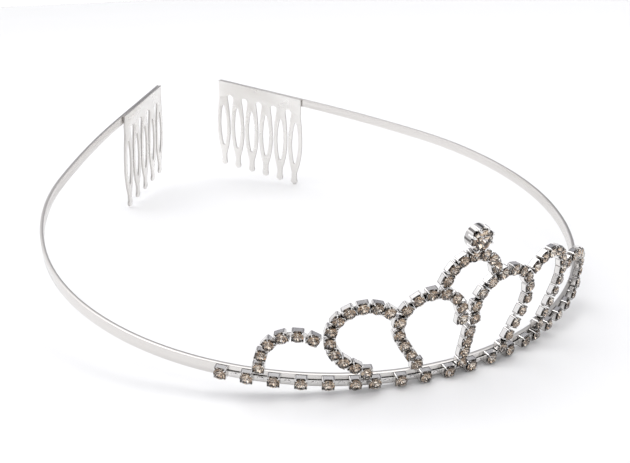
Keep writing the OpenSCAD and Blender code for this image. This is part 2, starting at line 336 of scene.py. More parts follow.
# The press leaves soft waves about 6 mm long, one to a tooth
waves = add_node(
    tree,
    "ShaderNodeTexNoise",
    {"Scale": 0.16 / MM, "Detail": 2.0},
    {"Vector": place.outputs["Object"]},
)
polish = add_node(
    tree,
    "ShaderNodeMapRange",
    {"From Min": 0.3, "From Max": 0.7, "To Min": 0.24, "To Max": 0.36},
    {"Value": waves.outputs["Fac"]},
)
grains = add_node(
    tree,
    "ShaderNodeBump",
    {"Strength": 0.1, "Distance": 0.02 * MM},
    {"Height": grain.outputs["Fac"]},
)
dents = add_node(
    tree,
    "ShaderNodeBump",
    {"Strength": 0.12, "Distance": 0.1 * MM},
    {"Height": waves.outputs["Fac"], "Normal": grains.outputs["Normal"]},
)
metal = add_node(
    tree,
    "ShaderNodeBsdfPrincipled",
    {"Base Color": linear("#ECEAE7"), "Metallic": 1.0},
    {"Roughness": polish.outputs["Result"], "Normal": dents.outputs["Normal"]},
)
add_node(tree, "ShaderNodeOutputMaterial", {}, {"Surface": metal.outputs["BSDF"]})

# %% The sheared edges of strip and combs, rougher and darker than the faces
cut_edge, tree = new_material("sheared_steel_edge")
metal = add_node(
    tree,
    "ShaderNodeBsdfPrincipled",
    {"Base Color": linear("#C6C3C0"), "Metallic": 1.0, "Roughness": 0.3},
)
add_node(tree, "ShaderNodeOutputMaterial", {}, {"Surface": metal.outputs["BSDF"]})

# %% Bright plated brass: the settings, drawn and polished, with painted shade in the corners
bright_brass, tree = new_material("bright_plated_brass_settings")
place = add_node(tree, "ShaderNodeTexCoord")
# The die leaves marks about half a wall's width apart, so 0.9 to the mm
draw_marks = add_node(
    tree,
    "ShaderNodeTexNoise",
    {"Scale": 0.9 / MM, "Detail": 3.0},
    {"Vector": place.outputs["Object"]},
)
polish = add_node(
    tree,
    "ShaderNodeMapRange",
    {"From Min": 0.3, "From Max": 0.7, "To Min": 0.08, "To Max": 0.2},
    {"Value": draw_marks.outputs["Fac"]},
)
# Painted shade: the narrow corners, found by ambient occlusion, are coloured dark
corners = add_node(tree, "ShaderNodeAmbientOcclusion", {"Distance": 0.35 * MM, "samples": 6})
painted_corner_shade = add_node(
    tree,
    "ShaderNodeMapRange",
    {"From Min": 0.15, "From Max": 0.65},
    {"Value": corners.outputs["AO"]},
)
# Painted reflection: faces marked dark, the border of each wall and the bars of the peak, go dark
# too
dark_faces = add_node(tree, "ShaderNodeAttribute", {"attribute_name": "darkness"})
unshaded = add_node(
    tree,
    "ShaderNodeMath",
    {"operation": "SUBTRACT", "use_clamp": True},
    {0: painted_corner_shade.outputs["Result"], 1: dark_faces.outputs["Fac"]},
)
# The dark colour is painted shade in the corners and painted reflection on the faces marked dark
tone = add_node(
    tree,
    "ShaderNodeMix",
    {"data_type": "RGBA", 6: linear("#2A2523"), 7: linear("#E2E0DE")},
    {0: unshaded.outputs["Value"]},
)
dents = add_node(
    tree,
    "ShaderNodeBump",
    {"Strength": 0.1, "Distance": 0.03 * MM},
    {"Height": draw_marks.outputs["Fac"]},
)
metal = add_node(
    tree,
    "ShaderNodeBsdfPrincipled",
    {"Metallic": 1.0},
    {
        "Base Color": tone.outputs[2],
        "Roughness": polish.outputs["Result"],
        "Normal": dents.outputs["Normal"],
    },
)
add_node(tree, "ShaderNodeOutputMaterial", {}, {"Surface": metal.outputs["BSDF"]})

# %% Cut glass: clear, with a faint warm tint, in front of the foil
cut_glass, tree = new_material("champagne_cut_glass")
glass = add_node(
    tree,
    "ShaderNodeBsdfPrincipled",
    {
        "Base Color": linear("#F7F1EA"),
        "Roughness": 0.02,
        "IOR": 1.56,
        "Transmission Weight": 1.0,
    },
)
add_node(tree, "ShaderNodeOutputMaterial", {}, {"Surface": glass.outputs["BSDF"]})

# %% Champagne foil: coated on the glass in a vacuum, a mirror, with painted reflections in many tones
foil_back, tree = new_material("champagne_foil_behind_glass")
# Each back facet gets its own tone, a painted reflection of another part of the room,
# and the painted pattern shifts a little from one stone to the next
facet = add_node(tree, "ShaderNodeAttribute", {"attribute_name": "facet"})
place = add_node(tree, "ShaderNodeTexCoord")
# A shift that changes every 2.2 mm, a stone's width, and goes round most of the tones
stone_to_stone_noise = add_node(
    tree,
    "ShaderNodeTexNoise",
    {"Scale": 0.45 / MM, "Detail": 1.0},
    {"Vector": place.outputs["Object"]},
)
PATTERN_SHIFT = 1.6
shift = add_node(
    tree,
    "ShaderNodeMath",
    {"operation": "MULTIPLY_ADD", 1: PATTERN_SHIFT},
    {0: stone_to_stone_noise.outputs["Fac"], 2: facet.outputs["Fac"]},
)
turn = add_node(tree, "ShaderNodeMath", {"operation": "FRACT"}, {0: shift.outputs["Value"]})
# The near-black, blue-grey and near-white stops are painted reflections and highlights; the beige
# ones are the foil's champagne colour
tone = add_node(
    tree,
    "ShaderNodeValToRGB",
    {},
    {"Fac": turn.outputs["Value"]},
    stops=(
        (0.0, "#2A2018"),
        (0.1, "#6E5E4F"),
        (0.22, "#C0AD9B"),
        (0.5, "#E2D4C4"),
        (0.66, "#C2C4CC"),
        (0.76, "#FAF2E6"),
        (0.92, "#FFFEF8"),
    ),
)
foil = add_node(
    tree,
    "ShaderNodeBsdfPrincipled",
    {"Metallic": 1.0, "Roughness": 0.1},
    {"Base Color": tone.outputs["Color"]},
)
add_node(tree, "ShaderNodeOutputMaterial", {}, {"Surface": foil.outputs["BSDF"]})

# %% Painted shade at the girdle: a dark brown line round each stone
girdle_painted_shade, tree = new_material("painted_shade_at_the_girdle")
girdle_shade_surface = add_node(
    tree, "ShaderNodeBsdfPrincipled", {"Base Color": linear("#2E231B"), "Roughness": 0.3}
)
add_node(tree, "ShaderNodeOutputMaterial", {}, {"Surface": girdle_shade_surface.outputs["BSDF"]})


# %% What every finished piece gets
def finish_piece(thing, name, slot, nodes, *materials):
    thing.name = thing.data.name = name
    if not thing.data.materials:
        for material in materials:
            thing.data.materials.append(material)
    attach(thing, "root")
    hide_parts(*nodes)
    low, high = (Vector(p) / MM for p in (thing.bound_box[0], thing.bound_box[6]))
    print(name, faces_of(thing), "triangles")
    print("  from", [round(v, 2) for v in low], "to", [round(v, 2) for v in high], "mm")


# %% [markdown]
# ## The strip
# The band is flat spring steel, 2.4 mm high and 0.75 mm thick, bent on edge. A
# curve with a profile could give it, but a spun section is closer to how it is
# made: the section is carried round three bends and along one straight end, and
# mirrored. A small bevel rounds its edges. Its two narrow sides are where the
# strip was sheared off a wider sheet, so they get the darker finish of a cut edge.

# %% Bend the strip
STRIP_EDGE = 0.12 * MM

bpy.ops.object.select_all(action="DESELECT")
bpy.ops.mesh.primitive_plane_add(
    size=1, location=(0, -band_t / 2, band_w / 2), rotation=(0, math.pi / 2, 0)
)
strip = bpy.context.object
strip.scale = (band_w, band_t, 1)
bpy.ops.object.transform_apply(location=True, rotation=True, scale=True)
# the middle of each bend, its turn, and its number of steps
bends = [
    (Vector((0, front_r, 0)), math.pi / 2, 45),
    (side_p + Vector((-side_r, 0, 0)), side_turn, 16),
    (rear_p + rear_r * Vector((-math.sin(rear_a), math.cos(rear_a), 0)), rear_turn, 6),
]
edit(strip)
bpy.ops.mesh.select_all(action="SELECT")
for centre, turn, count in bends:
    bpy.ops.mesh.spin(steps=count, angle=turn, center=centre, axis=(0, 0, -1))
straight = end_len * Vector((math.cos(end_a), math.sin(end_a), 0))
bpy.ops.mesh.extrude_region_move(TRANSFORM_OT_translate={"value": straight})
pick(strip, "FACE", lambda f: abs(f.calc_center_median().x) < 0.001 * MM)
bpy.ops.mesh.delete(type="FACE")
leave()
apply_modifier(strip, "MIRROR", use_axis=(True, False, False), merge_threshold=0.001 * MM)
tidy_mesh(strip)
apply_modifier(
    strip, "BEVEL", width=STRIP_EDGE, segments=2, limit_method="ANGLE", angle_limit=math.radians(40)
)
bpy.ops.object.shade_smooth_by_angle(angle=math.radians(35))
for face in strip.data.polygons:
    face.material_index = 1 if abs(face.normal.z) > 0.9 else 0
strip.data.transform(at_rest)
finish_piece(strip, "bent_strip", "strip_metal", ["band"], rolled_steel, cut_edge)

# %% [markdown]
# ## The combs
# Each comb is one stamped sheet, so its outline is a flat drawing: the plate,
# the teeth with their long eyes and the gaps between them. A flat curve holds
# such a drawing well, because it fills round holes by itself and gives the sheet
# its thickness and a rounded edge in one go. It is made a mesh before it is set
# in its place, its teeth splayed outwards a little.

# %% The outline of a tooth
# Heights are shares of the comb's height, and half widths of the teeth's pitch
GAP_TOP = 0.14
TOOTH_WIDE_AT = 0.54
NECK_AT = 0.86
SLOT_TOP = 0.275
SLOT_END = 0.755
SLOT_END_R = 0.085
GAP_HALF = 0.22
TOOTH_TOP_HALF = 0.24
TOOTH_HALF = 0.45
NECK_HALF = 0.165
SLOT_HALF = 0.225
SIDE_STEPS = 14
END_STEPS = 8
GAP_STEPS = 10


def arc_radius(drop, run):
    return (run * run + drop * drop) / (2 * drop)


def bulge(half, edge, middle, end, y):
    radius = arc_radius(half - edge, abs(middle - end))
    return half - radius + math.sqrt(radius * radius - (y - middle) ** 2)


def tooth_half(y, pitch):
    wide_y = -TOOTH_WIDE_AT * comb_h
    if y > wide_y:
        return bulge(TOOTH_HALF * pitch, TOOTH_TOP_HALF * pitch, wide_y, -GAP_TOP * comb_h, y)
    return bulge(TOOTH_HALF * pitch, NECK_HALF * pitch, wide_y, -NECK_AT * comb_h, y)


def steps(first, last, count):
    return [first + (last - first) * i / count for i in range(count + 1)]


def tooth_outline(middle, pitch, plate_h):
    sides = [(y, tooth_half(y, pitch)) for y in steps(-plate_h, -NECK_AT * comb_h, SIDE_STEPS)]
    tip = TIP_R * pitch
    neck_angle = math.acos(NECK_HALF / TIP_R)
    turns = steps(math.pi - neck_angle, 2 * math.pi + neck_angle, SIDE_STEPS)
    left = [(middle - half, y) for y, half in sides]
    end = [(middle + tip * math.cos(a), tip - comb_h + tip * math.sin(a)) for a in turns]
    right = [(middle + half, y) for y, half in reversed(sides)]
    return left + end + right


def slot_outline(middle, pitch):
    slot_mid = -(SLOT_TOP + SLOT_END) / 2 * comb_h
    end_r = SLOT_END_R * pitch
    run = (SLOT_END - SLOT_TOP) / 2 * comb_h - end_r
    levels = steps(slot_mid + run, slot_mid - run, SIDE_STEPS)
    sides = [(y, bulge(SLOT_HALF * pitch, end_r, slot_mid, slot_mid - run, y)) for y in levels]
    left = [(middle - half, y) for y, half in sides]
    right = [(middle + half, y) for y, half in reversed(sides)]

    def round_end(y, first):
        turns = steps(first, first + math.pi, END_STEPS)[1:-1]
        return [(middle + end_r * math.cos(a), y + end_r * math.sin(a)) for a in turns]

    return left + round_end(slot_mid - run, math.pi) + right + round_end(slot_mid + run, 0)


# %% Cut the sheets and stand them in their places
EDGE = 0.07 * MM


def add_outline(drawing, points):
    spline = drawing.splines.new("POLY")
    spline.points.add(len(points) - 1)
    for point, (x, y) in zip(spline.points, points):
        point.co = (x, y, 0, 1)
    spline.use_cyclic_u = True


def comb(teeth, pitch, side, name, node):
    plate_h = GAP_TOP * comb_h + GAP_HALF * pitch
    inset = PLATE_INSET * pitch
    outline = [(inset, 0), (inset, -plate_h)]
    for i in range(teeth):
        outline += tooth_outline((i + 0.5) * pitch, pitch, plate_h)
        if i < teeth - 1:
            half = pitch / 2 - tooth_half(-plate_h, pitch)
            bend = steps(math.pi, 0, GAP_STEPS)[1:-1]
            outline += [
                ((i + 1) * pitch + half * math.cos(a), half * math.sin(a) - plate_h) for a in bend
            ]
    outline += [(teeth * pitch - inset, -plate_h), (teeth * pitch - inset, 0)]
    drawing = bpy.data.curves.new(name, "CURVE")
    drawing.dimensions = "2D"
    drawing.fill_mode = "BOTH"
    drawing.extrude = comb_t / 2 - EDGE
    drawing.bevel_depth = EDGE
    drawing.bevel_resolution = 1
    drawing.offset = -EDGE
    add_outline(drawing, outline)
    for i in range(teeth):
        add_outline(drawing, slot_outline((i + 0.5) * pitch, pitch))
    sheet = bpy.data.objects.new(name, drawing)
    bpy.context.scene.collection.objects.link(sheet)
    select_only(sheet)
    bpy.ops.object.convert(target="MESH")
    sheet = bpy.context.object
    sheet.data.materials.clear()
    for material in (satin_sheet, cut_edge):
        sheet.data.materials.append(material)
    for face in sheet.data.polygons:
        face.material_index = 1 if abs(face.normal.z) < 0.9 else 0
    on_end = Matrix.Translation(end_p) @ Matrix.Rotation(end_a, 4, "Z")
    stand = (
        Matrix.Translation((comb_x(teeth, pitch), sheet_y, band_w))
        @ Matrix.Rotation(-comb_splay, 4, "X")
        @ Matrix.Translation((0, comb_t / 2, 0))
        @ Matrix.Rotation(math.pi / 2, 4, "X")
    )
    sheet.data.transform(at_rest @ Matrix.Diagonal((side, 1, 1, 1)) @ on_end @ stand)
    tidy_mesh(sheet)
    bpy.ops.object.shade_smooth_by_angle(angle=math.radians(50))
    finish_piece(sheet, name, "comb_metal", [node])


comb(right_teeth, right_pitch, 1, "right_comb_sheet", "comb_right")
comb(left_teeth, left_pitch, -1, "left_comb_sheet", "comb_left")

# %% [markdown]
# ## A small setting and its stone
# Rhinestone chain is a row of little square boxes of thin brass. A claw at each
# corner is bent over the stone, and the wall between two claws dips so that the
# stone's edge shows. The box is a cube whose open face is inset and pushed in.
# One claw is drawn out from a short six-sided rod and mirrored to the corners. A
# narrow border is inset in each outer wall, and a value kept on its faces tells
# the material how dark they are: a painted reflection outlines each wall.

# %% A hollow, a bent claw, and dark faces
# The dark border of each outer wall is painted reflection
OUTLINE_W = 0.07 * MM
PAINTED_OUTLINE_DARKNESS = 0.8


def hollow(thing, wall, depth):
    """Insets the open face and pushes it in, which leaves a wall and a floor."""
    pick(thing, "FACE", lambda f: f.normal.y < -0.9)
    bpy.ops.mesh.inset(thickness=wall, depth=0)
    bpy.ops.mesh.extrude_region_move(TRANSFORM_OT_translate={"value": (0, depth, 0)})


def bend_claw(claw, bends, inwards):
    """Draws a rod's end out in steps: mm inwards, mm up, and how much thinner."""
    edit(claw)
    pick(claw, "FACE", lambda f: f.normal.y < -0.9)
    for lean, up, shrink in bends:
        move = (lean * Vector(inwards) - Vector((0, up, 0))) * MM
        bpy.ops.mesh.extrude_region_move(TRANSFORM_OT_translate={"value": move})
        bpy.ops.transform.resize(value=(shrink, 1, shrink))
    leave()


def darken_selected(thing, darkness):
    """Gives each selected face its darkness, worked out from the face."""
    mesh = bmesh.from_edit_mesh(thing.data)
    layers = mesh.faces.layers.float
    layer = layers.get("darkness") or layers.new("darkness")
    for face in mesh.faces:
        if face.select:
            face[layer] = darkness(face)
    bmesh.update_edit_mesh(thing.data)


def outline_walls(box, side):
    """Insets a narrow border in each outer wall and marks it dark, as painted reflection."""
    def on_wall(f):
        middle = f.calc_center_median()
        return max(abs(middle.x), abs(middle.z)) > side * 0.49

    pick(box, "FACE", on_wall)
    darken_selected(box, lambda f: PAINTED_OUTLINE_DARKNESS)
    bpy.ops.mesh.inset(thickness=OUTLINE_W, use_individual=True)
    darken_selected(box, lambda f: 0)


# %% One small setting
WALL = 0.07 * MM
CORNER_R = 0.2 * MM
DIP = 0.12 * MM
CLAW_SHAFT = 0.5 * MM
CLAW_BENDS = ((0.03, 0.14, 0.95), (0.09, 0.08, 0.85), (0.07, 0.01, 0.6))


def small_setting(side, name):
    bpy.ops.object.select_all(action="DESELECT")
    bpy.ops.mesh.primitive_cube_add(size=1, location=(0, -cup_depth / 2, 0))
    box = bpy.context.object
    box.scale = (side, cup_depth, side)
    bpy.ops.object.transform_apply(location=True, rotation=True, scale=True)
    edit(box)
    pick(box, "EDGE", lambda e: abs(e.verts[0].co.y - e.verts[1].co.y) > cup_depth / 2)
    bpy.ops.mesh.bevel(offset=CORNER_R, segments=2, affect="EDGES")
    hollow(box, WALL, cup_depth - FLOOR)
    rim = -cup_depth * 0.99
    pick(box, "EDGE", lambda e: e.calc_length() > side / 2 and all(v.co.y < rim for v in e.verts))
    bpy.ops.mesh.subdivide(number_cuts=3)
    pick(box, "VERT", lambda v: v.co.y < rim and min(abs(v.co.x), abs(v.co.z)) < side * 0.3)
    bpy.ops.transform.translate(value=(0, DIP, 0))
    outline_walls(box, side)
    leave()
    corner = side / 2 - CLAW_R - CLAW_INSET
    bpy.ops.object.select_all(action="DESELECT")
    bpy.ops.mesh.primitive_cylinder_add(
        vertices=CLAW_SIDES, radius=CLAW_R * 0.75, depth=CLAW_SHAFT, rotation=(math.pi / 2, 0, 0),
        location=(corner, CLAW_SHAFT / 2 - cup_depth, corner),
    )
    claw = bpy.context.object
    bpy.ops.object.transform_apply(location=True, rotation=True, scale=True)
    bend_claw(claw, CLAW_BENDS, (-1, 0, -1))
    apply_modifier(claw, "MIRROR", use_axis=(True, False, True), merge_threshold=0.001 * MM)
    claw.data.update()
    select_only(box, claw)
    bpy.ops.object.join()
    tidy_mesh(box)
    bpy.ops.object.shade_smooth_by_angle(angle=math.radians(40))
    box.name = name
    print(name, faces_of(box), "triangles")
    return box


arch_setting = small_setting(arch_cup, "arch_setting")
row_setting = small_setting(base_cup, "row_setting")

# %% [markdown]
# A rhinestone is a cone of glass with a flat table. It starts as a thin disc with
# sixteen sides, its girdle. The table is drawn in from it, and every second side of
# the ring is collapsed, which leaves eight four-sided facets with a triangle between
# each two. The same trick makes the pointed back, whose faces carry the foil. The
# girdle's faces carry a dark brown line, painted shade that outlines each stone.

# %% One stone of a given diameter
PAVILION = 0.36
CULET = 0.1
STONE_SIDES = 16
# Steps of this share of a whole spread the facets' tones evenly, with no pattern.
# The tones follow the faces' order, which Blender's operators don't always keep, so
# which facet gets which tone can change from one run to the next.
GOLDEN = 0.618


def cut_ring(stone, at_y):
    """Halves the ring of corners at one height by collapsing every second side of it."""
    def on_ring(e):
        middle = (e.verts[0].co + e.verts[1].co) / 2
        side_number = round(math.atan2(middle.z, middle.x) / (2 * math.pi / STONE_SIDES) - 0.5)
        return all(abs(v.co.y - at_y) < 0.001 * MM for v in e.verts) and side_number % 2 == 0

    count = pick(stone, "EDGE", on_ring)
    bpy.ops.mesh.merge(type="COLLAPSE")
    return count


def cut_stone(diameter, name):
    bpy.ops.object.select_all(action="DESELECT")
    bpy.ops.mesh.primitive_cylinder_add(
        vertices=STONE_SIDES, radius=diameter / 2, depth=GIRDLE * diameter,
        rotation=(math.pi / 2, 0, 0), location=(0, -GIRDLE * diameter / 2, 0),
    )
    stone = bpy.context.object
    bpy.ops.object.transform_apply(location=True, rotation=True, scale=True)
    edit(stone)
    table_y = -(GIRDLE + CROWN_RISE) * diameter
    rise, sink = CROWN_RISE * diameter, PAVILION * diameter
    pick(stone, "FACE", lambda f: f.normal.y < -0.9)
    bpy.ops.mesh.extrude_region_move(TRANSFORM_OT_translate={"value": (0, -rise, 0)})
    bpy.ops.transform.resize(value=(TABLE, 1, TABLE))
    pick(stone, "FACE", lambda f: f.normal.y > 0.9)
    bpy.ops.mesh.extrude_region_move(TRANSFORM_OT_translate={"value": (0, sink, 0)})
    bpy.ops.transform.resize(value=(CULET, 1, CULET))
    cut_ring(stone, table_y)
    cut_ring(stone, sink)
    leave()
    tidy_mesh(stone)
    stone.name = name
    stone.data.materials.append(cut_glass)
    stone.data.materials.append(foil_back)
    stone.data.materials.append(girdle_painted_shade)
    edit(stone)
    # Faces that look back carry the foil, and upright ones carry the girdle's painted shade
    for index, lowest, highest in ((1, 0.05, 1.1), (2, -0.05, 0.05)):
        pick(stone, "FACE", lambda f: lowest <= f.normal.y < highest)
        stone.active_material_index = index
        bpy.ops.object.material_slot_assign()
    leave()
    tones = stone.data.attributes.new("facet", "FLOAT", "FACE")
    for face in stone.data.polygons:
        tones.data[face.index].value = face.index * GOLDEN % 1
    print(name, faces_of(stone), "triangles")
    return stone


small_stone = cut_stone(stone_d, "small_stone")
row_stone = cut_stone(base_stone_d, "row_stone")
large_stone = cut_stone(top_stone_d, "large_stone")

# %% [markdown]
# ## The chains
# The crown is drawn on a flat sheet that is then wrapped round the front of the
# head. An arch leaves its foot on a straight leg, meets a circle at a tangent and
# follows it. The settings are spaced evenly along that line, and each one turns
# with it. The model of one setting is copied to each place, and the copies of a
# chain are joined, because that is one soldered length on the real tiara.

# %% The layout of the arches
# settings, circle's middle (x, h), radius, foot (x, h), end angle, side of the leg
ARCHES = {
    "arch_1": (6, -28.4, 4.9, 5.7, -34.3, 3.6, 63.2, -1),
    "arch_2": (11, -17.6, 10.4, 5.72, -17.0, 3.45, 54, -1),
    "arch_3": (12, -6.85, 12.0, 5.6, -8.6, 4.2, -3, -1),
    "arch_4": (7, -0.4, 18.8, 4.75, -5.15, 19.75, 20, -1),
    "arch_5": (14, 7.25, 12.6, 6.15, 8.8, 2.7, 193.5, 1),
    "arch_6": (12, 18.0, 12.8, 5.95, 18.9, 3.45, 130, 1),
    "arch_7": (8, 28.5, 3.7, 9.88, 38.4, 3.0, 103, 1),
}
RAISED = "arch_4"


def chain_places(name):
    count, mx, mh, radius, fx, fh, end, side = ARCHES[name]
    middle, foot = Vector((mx, mh)), Vector((fx, fh))
    out = foot - middle
    touch = math.degrees(math.atan2(out.y, out.x)) + side * math.degrees(
        math.acos(min(1, radius / out.length))
    )
    leg = math.sqrt(max(0, out.length**2 - radius**2))
    sweep = (side * (end - touch)) % 360
    step = (leg + radius * math.radians(sweep)) / (count - 1)

    def on_circle(degrees):
        a = math.radians(degrees)
        return middle + radius * Vector((math.cos(a), math.sin(a)))

    places = []
    for i in range(count):
        along = i * step
        angle = touch + side * math.degrees(max(0, along - leg) / radius)
        if along < leg:
            spot = foot + (on_circle(touch) - foot) * along / leg
        else:
            spot = on_circle(angle)
        turn = 0 if i == 0 and name != RAISED else angle + 90
        places.append((spot.x * MM, spot.y * MM, math.radians(turn)))
    return places


def set_at(place):
    x, h, turn = place
    return on_crown(x, h) @ Matrix.Rotation(-turn, 4, "Y")


# %% Copy a model to each place and join the copies
def copies(model, matrices):
    made = []
    for matrix in matrices:
        copy = bpy.data.objects.new(model.name, model.data.copy())
        bpy.context.scene.collection.objects.link(copy)
        copy.data.transform(matrix)
        made.append(copy)
    return made


def joined(parts):
    select_only(*parts)
    if len(parts) > 1:
        bpy.ops.object.join()
    return bpy.context.object


def seats(spots, depth):
    """Where stones sit in their settings, each turned by another step of its facets."""
    facets = STONE_SIDES // 2
    in_place = Matrix.Translation((0, -depth - stone_rise, 0))
    turns = [i * 3 % facets * 2 * math.pi / facets for i in range(len(spots))]
    return [spot @ in_place @ Matrix.Rotation(turn, 4, "Y") for spot, turn in zip(spots, turns)]


# %% [markdown]
# The links that hold a chain together lie at the settings' backs. On an arch
# they are plain straps, hidden from the front. Between the settings on the strip
# each one has a low dome in its middle.

# %% Straps and humps
STRAP_T = 0.2 * MM
LINK_W = 0.9 * MM
HUMP_SIZE = (1.2 * MM, 0.3 * MM, 0.8 * MM)


def rounded_bar(size, low, name, edge=0.06 * MM):
    """A bar whose box starts at the corner `low`, with small bevels."""
    bpy.ops.object.select_all(action="DESELECT")
    bpy.ops.mesh.primitive_cube_add(size=1, location=Vector(low) + Vector(size) / 2)
    bar = bpy.context.object
    bar.scale = size
    bpy.ops.object.transform_apply(location=True, rotation=True, scale=True)
    bar.name = name
    return apply_modifier(bar, "BEVEL", width=edge, segments=1)


def strap(length):
    low = (-length / 2, -STRAP_T - gap, -LINK_W / 2)
    return rounded_bar((length, STRAP_T, LINK_W), low, "strap")


def hump(length):
    """A low dome, half of it inside the strap."""
    bpy.ops.object.select_all(action="DESELECT")
    bpy.ops.mesh.primitive_uv_sphere_add(segments=12, ring_count=6, radius=0.5)
    dome = bpy.context.object
    dome.scale = (min(length, HUMP_SIZE[0]), *HUMP_SIZE[1:])
    dome.location = (0, -gap - STRAP_T, 0)
    bpy.ops.object.transform_apply(location=True, rotation=True, scale=True)
    return dome


def moved(thing, matrix):
    thing.data.transform(matrix)
    return thing


# %% [markdown]
# ## The row on the strip
# Twenty settings sit along the front of the strip, ten on each side of the
# middle. They are evenly spaced but for one closer step on each side.

# %% The row
base_pitch = 4.4 * MM
base_near_pitch = 3.2 * MM
HALF_COUNT = 10
NEAR_COUNT = 4
LINK_H = 1.0 * MM
STRAP_LAP = 0.2 * MM

right_xs = [
    (i + 0.5) * base_pitch + (0 if i < NEAR_COUNT else base_near_pitch - base_pitch)
    for i in range(HALF_COUNT)
]
row_xs = [-x for x in reversed(right_xs)] + right_xs
row_spots = [on_crown(x, base_h) for x in row_xs]
parts = copies(row_setting, row_spots)
for a, b in zip(row_xs, row_xs[1:]):
    clear = b - a - base_cup
    middle = on_crown((a + b) / 2, LINK_H)
    parts.append(moved(strap(clear + 2 * STRAP_LAP), middle))
    parts.append(moved(hump(clear), middle))
row = joined(parts)
finish_piece(row, "row_of_settings", "setting_metal", ["base_chain"], bright_brass)
row_stones = joined(copies(row_stone, seats(row_spots, cup_depth)))
finish_piece(row_stones, "row_of_stones", "stone_glass", ["base_stones"])

# %% [markdown]
# ## The arches and the stem
# Each arch is one chain. Where a foot stands on the strip, a small tab behind it
# is soldered to the strip's top edge, and the same goes for the stem.

# %% A tab behind a foot
TAB_W = 0.8 * MM
TAB_INSET = 0.1 * MM


def foot_tab(x, h):
    """A post on the strip and a bracket forward to the foot; x and h are in mm."""
    x, h = x * MM, h * MM
    quarter = arch_cup / 4
    rise = max(0, h - band_w - quarter)
    post = rounded_bar(
        (TAB_W, band_t - 2 * TAB_INSET, rise + quarter),
        (-TAB_W / 2, TAB_INSET - band_t, 0),
        "post",
        TAB_INSET,
    )
    bracket = rounded_bar(
        (TAB_W, seat_off + FLOOR - 2 * TAB_INSET, quarter),
        (-TAB_W / 2, TAB_INSET - seat_off - FLOOR, rise),
        "bracket",
        TAB_INSET,
    )
    stand = (
        at_rest
        @ Matrix.Translation((0, front_r, 0))
        @ Matrix.Rotation(x / front_r, 4, "Z")
        @ Matrix.Translation((0, -front_r, band_w + gap))
    )
    return [moved(post, stand), moved(bracket, stand)]


# %% Each arch, its straps and its stones
for name, layout in ARCHES.items():
    places = chain_places(name)
    spots = [set_at(place) for place in places]
    parts = copies(arch_setting, spots)
    for (ax, ah, _), (bx, bh, _) in zip(places, places[1:]):
        middle = on_crown((ax + bx) / 2, (ah + bh) / 2)
        turn = Matrix.Rotation(-math.atan2(bh - ah, bx - ax), 4, "Y")
        parts.append(moved(strap(math.hypot(bx - ax, bh - ah)), middle @ turn))
    if name != RAISED:
        parts += foot_tab(layout[4], layout[5])
    chain = joined(parts)
    finish_piece(chain, name + "_settings", "setting_metal", [name], bright_brass)
    stones = joined(copies(small_stone, seats(spots, cup_depth)))
    finish_piece(stones, name + "_cut_stones", "stone_glass", [name + "_stones"])

# %% The stem
stem_low, stem_high, STEM_COUNT = 2.65, 8.7, 4
stem_slant = math.radians(6)
slant = Matrix.Rotation(stem_slant, 4, "Y")
heights = steps(0, (stem_high - stem_low) * MM, STEM_COUNT - 1)
stem_xs = [h * math.tan(stem_slant) for h in heights]
spots = [on_crown(x, stem_low * MM + h) @ slant for x, h in zip(stem_xs, heights)]
spots[0] = on_crown(0, stem_low * MM)
parts = copies(arch_setting, spots)
middle = on_crown(stem_xs[-1] / 2, (stem_low + stem_high) / 2 * MM)
upright = Matrix.Rotation(stem_slant + math.pi / 2, 4, "Y")
parts.append(moved(strap((stem_high - stem_low) * MM), middle @ upright))
parts += foot_tab(0, stem_low)
stem = joined(parts)
finish_piece(stem, "stem_settings", "setting_metal", ["stem"], bright_brass)
stones = joined(copies(small_stone, seats(spots, cup_depth)))
finish_piece(stones, "stem_cut_stones", "stone_glass", ["stem_stones"])

# %% [markdown]
# ## The peak
# One large round setting crowns the piece: a deep cup with eight broad claws. Its
# rim dips a little between the claws, so a few corners of the rim are moved down.
# The polished wall of the real one mirrors its claws and the table in upright bars.
# This scene's plain room can't draw them, so the wall's faces carry them as tones.

# %% The large setting
TOP_SIDES = 32
TOP_CLAWS = 8
TOP_WALL = 0.2 * MM
TOP_DIP = 0.3 * MM
# Painted reflection: the bars are darkest, and the rest of the outer wall is darkened less
BAR_DARKNESS = 0.85
WALL_DARKNESS = 0.3

bpy.ops.object.select_all(action="DESELECT")
bpy.ops.mesh.primitive_cylinder_add(
    vertices=TOP_SIDES, radius=top_cup_d / 2, depth=top_depth,
    rotation=(math.pi / 2, 0, 0), location=(0, -top_depth / 2, 0),
)
cup = bpy.context.object
bpy.ops.object.transform_apply(location=True, rotation=True, scale=True)
cup.data.transform(Matrix.Rotation(math.pi / TOP_SIDES, 4, "Y"))
edit(cup)
hollow(cup, TOP_WALL, top_depth - FLOOR)


def turn_of(point, count):
    """The angle of a point round the cup, counted in parts of a whole turn."""
    return math.atan2(point.z, point.x) / (2 * math.pi / count)


def in_dip(v):
    turn = turn_of(v.co, TOP_CLAWS)
    return v.co.y < -top_depth * 0.99 and abs(turn - round(turn)) < 0.2


def on_outer_wall(f):
    return abs(f.normal.y) < 0.1 and math.hypot(*f.calc_center_median().xz) > top_cup_d * 0.49


def wall_darkness(f):
    side_number = round(turn_of(f.calc_center_median(), TOP_SIDES))
    return WALL_DARKNESS if side_number % (TOP_SIDES // TOP_CLAWS) else BAR_DARKNESS


print("dip corners:", pick(cup, "VERT", in_dip))
bpy.ops.transform.translate(value=(0, TOP_DIP, 0))
print("wall faces:", pick(cup, "FACE", on_outer_wall))
darken_selected(cup, wall_darkness)
leave()

# %% One broad claw, copied round to make eight
TOP_CLAW_R = 0.22 * MM
TOP_CLAW_SIDES = 8
TOP_CLAW_SHAFT = 0.9 * MM
TOP_CLAW_BENDS = ((0.04, 0.25, 1.0), (0.2, 0.18, 0.9), (0.2, 0.06, 0.6))

